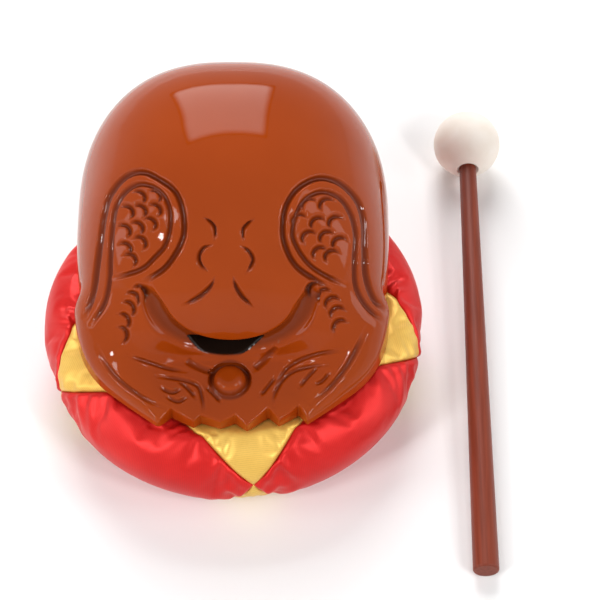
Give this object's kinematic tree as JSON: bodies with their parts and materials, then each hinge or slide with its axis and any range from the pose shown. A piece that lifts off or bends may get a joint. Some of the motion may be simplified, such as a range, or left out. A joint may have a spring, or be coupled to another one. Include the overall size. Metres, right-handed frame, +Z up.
{
  "type": "mokugyo wooden fish",
  "caption": "Hollow lacquered wooden fish drum with a slit mouth, on a round red and gold patchwork cushion, with its ball-headed striker lying beside it.",
  "frame": {"origin": "middle of the cushion's flat underside", "axes": "+Z up, the fish's mouth faces -Y, the striker lies along Y on the +X side"},
  "size_m": [0.1555, 0.1793, 0.1022],
  "materials": {
    "lacquered_wood": "gloss lacquer",
    "red_satin": "satin weave",
    "gold_satin": "satin weave",
    "stuffing": "loose fibre",
    "stick_wood": "stained and lacquered",
    "ball": "smooth"
  },
  "bodies": {
    "cushion": {"red_panel_1": "red_satin", "red_panel_2": "red_satin", "red_panel_3": "red_satin", "red_panel_4": "red_satin", "red_panel_5": "red_satin", "gold_top_panel_1": "gold_satin", "gold_top_panel_2": "gold_satin", "gold_top_panel_3": "gold_satin", "gold_top_panel_4": "gold_satin", "gold_top_panel_5": "gold_satin", "gold_bottom_panel_1": "gold_satin", "gold_bottom_panel_2": "gold_satin", "gold_bottom_panel_3": "gold_satin", "gold_bottom_panel_4": "gold_satin", "gold_bottom_panel_5": "gold_satin", "stuffing": "stuffing"},
    "fish": {"fish_body": "lacquered_wood"},
    "striker": {"striker_handle": "stick_wood", "striker_head": "ball"}
  },
  "joints": [
    {"name": "fish_lift", "type": "slide", "parent": "cushion", "child": "fish", "axis": [0, 0, 1], "range_m": [0, 0.06]},
    {"name": "striker_lift", "type": "slide", "parent": "cushion", "child": "striker", "axis": [0, 0, 1], "range_m": [0, 0.12]}
  ]
}
